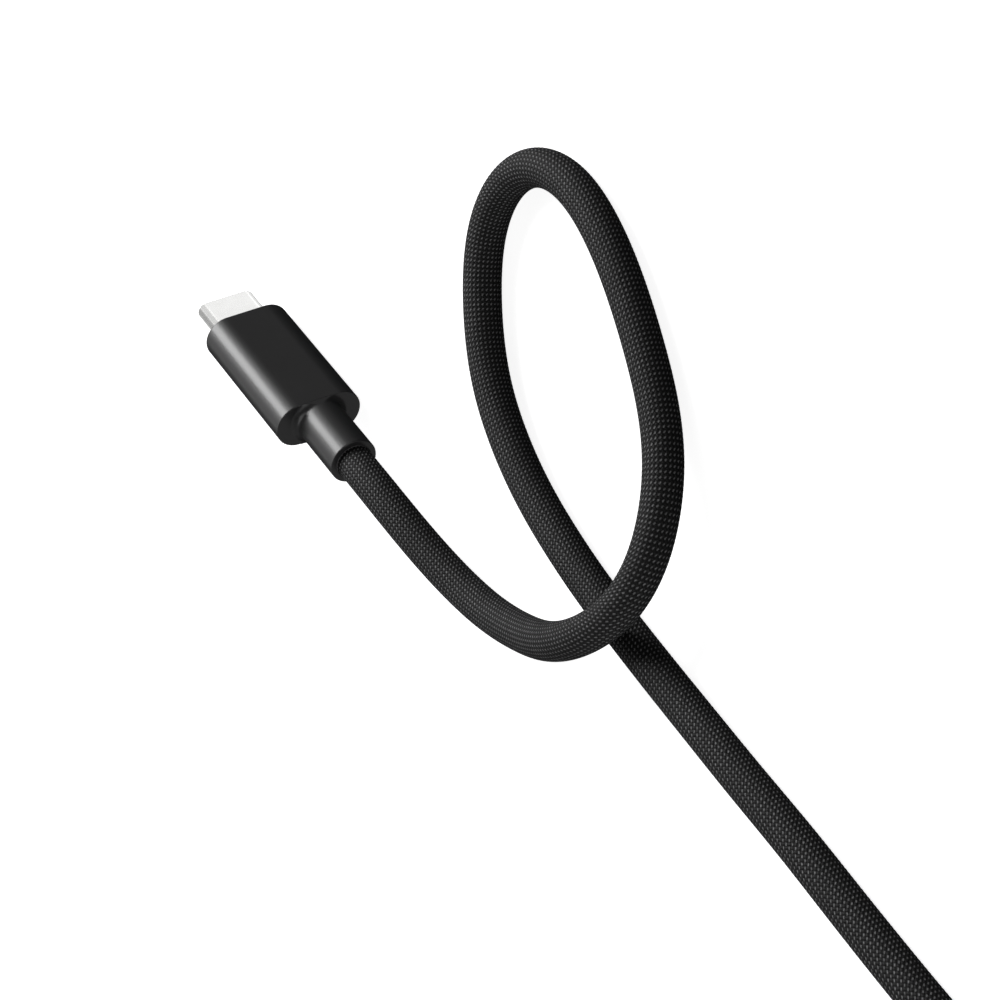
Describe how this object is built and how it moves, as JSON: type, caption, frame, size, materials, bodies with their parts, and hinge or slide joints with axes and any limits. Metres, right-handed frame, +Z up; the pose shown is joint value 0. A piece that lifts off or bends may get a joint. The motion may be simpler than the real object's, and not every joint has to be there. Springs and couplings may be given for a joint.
{
  "type": "charging cable",
  "caption": "Braided charging cable with a small reversible plug in a dark rounded housing at each end, one open loop on the surface and the rest stored in a tied coil.",
  "frame": {"origin": "on the surface the cable lies on, under the middle of the near plug with its collar", "axes": "+X the way the near plug goes into its socket, +Z up; the visible broad face of the near plug looks towards -Y and 20 degrees upwards"},
  "size_m": [0.2512, 0.0781, 0.012],
  "materials": {
    "nickel_shell": "bright nickel plate, satin",
    "insulator": "matt moulded",
    "gold_contact": "gold flash, smooth",
    "spring_steel": "stamped, satin",
    "circuit_board": "solder mask, glossy",
    "chip_black": "matt moulded",
    "chip_ceramic": "fired ceramic with tinned ends",
    "tinned_steel": "tinned, dull",
    "ferrule_brass": "drawn, crimped",
    "clear_mould": "milky polyethylene",
    "dark_plastic": "fine satin",
    "red_insulation": "smooth",
    "black_insulation": "smooth",
    "white_insulation": "smooth",
    "braided_sleeve": "braided yarn with fine light flecks",
    "tie_fabric": "hook and loop, napped"
  },
  "bodies": {
    "plug": {"near_shell": "nickel_shell", "near_front_housing": "insulator", "near_upper_contacts": "gold_contact", "near_lower_contacts": "gold_contact", "near_mid_plate": "spring_steel", "near_upper_ground_spring": "spring_steel", "near_lower_ground_spring": "spring_steel", "near_contact_carrier": "insulator", "near_paddle_card": "circuit_board", "near_id_chip": "chip_black", "near_chip_parts": "chip_ceramic", "near_upper_shield_can": "tinned_steel", "near_lower_shield_can": "tinned_steel", "near_crimp_ferrule": "ferrule_brass", "near_inner_mould": "clear_mould", "near_housing": "dark_plastic", "near_strain_relief": "dark_plastic", "near_power_wires": "red_insulation", "near_ground_wires": "black_insulation", "near_signal_wires": "white_insulation", "near_cable_end": "braided_sleeve", "far_shell": "nickel_shell", "far_front_housing": "insulator", "far_upper_contacts": "gold_contact", "far_lower_contacts": "gold_contact", "far_mid_plate": "spring_steel", "far_upper_ground_spring": "spring_steel", "far_lower_ground_spring": "spring_steel", "far_contact_carrier": "insulator", "far_paddle_card": "circuit_board", "far_id_chip": "chip_black", "far_chip_parts": "chip_ceramic", "far_upper_shield_can": "tinned_steel", "far_lower_shield_can": "tinned_steel", "far_crimp_ferrule": "ferrule_brass", "far_inner_mould": "clear_mould", "far_housing": "dark_plastic", "far_strain_relief": "dark_plastic", "far_power_wires": "red_insulation", "far_ground_wires": "black_insulation", "far_signal_wires": "white_insulation", "far_cable_end": "braided_sleeve", "cable": "braided_sleeve", "cable_coil": "braided_sleeve", "cable_tail": "braided_sleeve", "coil_tie": "tie_fabric"},
    "near_left_latch": {"near_left_latch": "spring_steel"},
    "near_right_latch": {"near_right_latch": "spring_steel"},
    "far_left_latch": {"far_left_latch": "spring_steel"},
    "far_right_latch": {"far_right_latch": "spring_steel"}
  },
  "joints": [
    {"name": "near_left_latch_flex", "type": "hinge", "parent": "plug", "child": "near_left_latch", "pos_m": [0.00937, 0.00121, 0.00933], "axis": [0, -0.9397, 0.342], "range_deg": [0, 2], "stiffness_Nm_per_rad": 0.4},
    {"name": "near_right_latch_flex", "type": "hinge", "parent": "plug", "child": "near_right_latch", "pos_m": [0.00937, -0.00121, 0.00267], "axis": [0, 0.9397, -0.342], "range_deg": [0, 2], "stiffness_Nm_per_rad": 0.4},
    {"name": "far_left_latch_flex", "type": "hinge", "parent": "plug", "child": "far_left_latch", "pos_m": [-0.1393, -0.06386, 0.0033], "axis": [0, 0, 1], "range_deg": [0, 2], "stiffness_Nm_per_rad": 0.4},
    {"name": "far_right_latch_flex", "type": "hinge", "parent": "plug", "child": "far_right_latch", "pos_m": [-0.1393, -0.07094, 0.0033], "axis": [0, 0, -1], "range_deg": [0, 2], "stiffness_Nm_per_rad": 0.4}
  ]
}
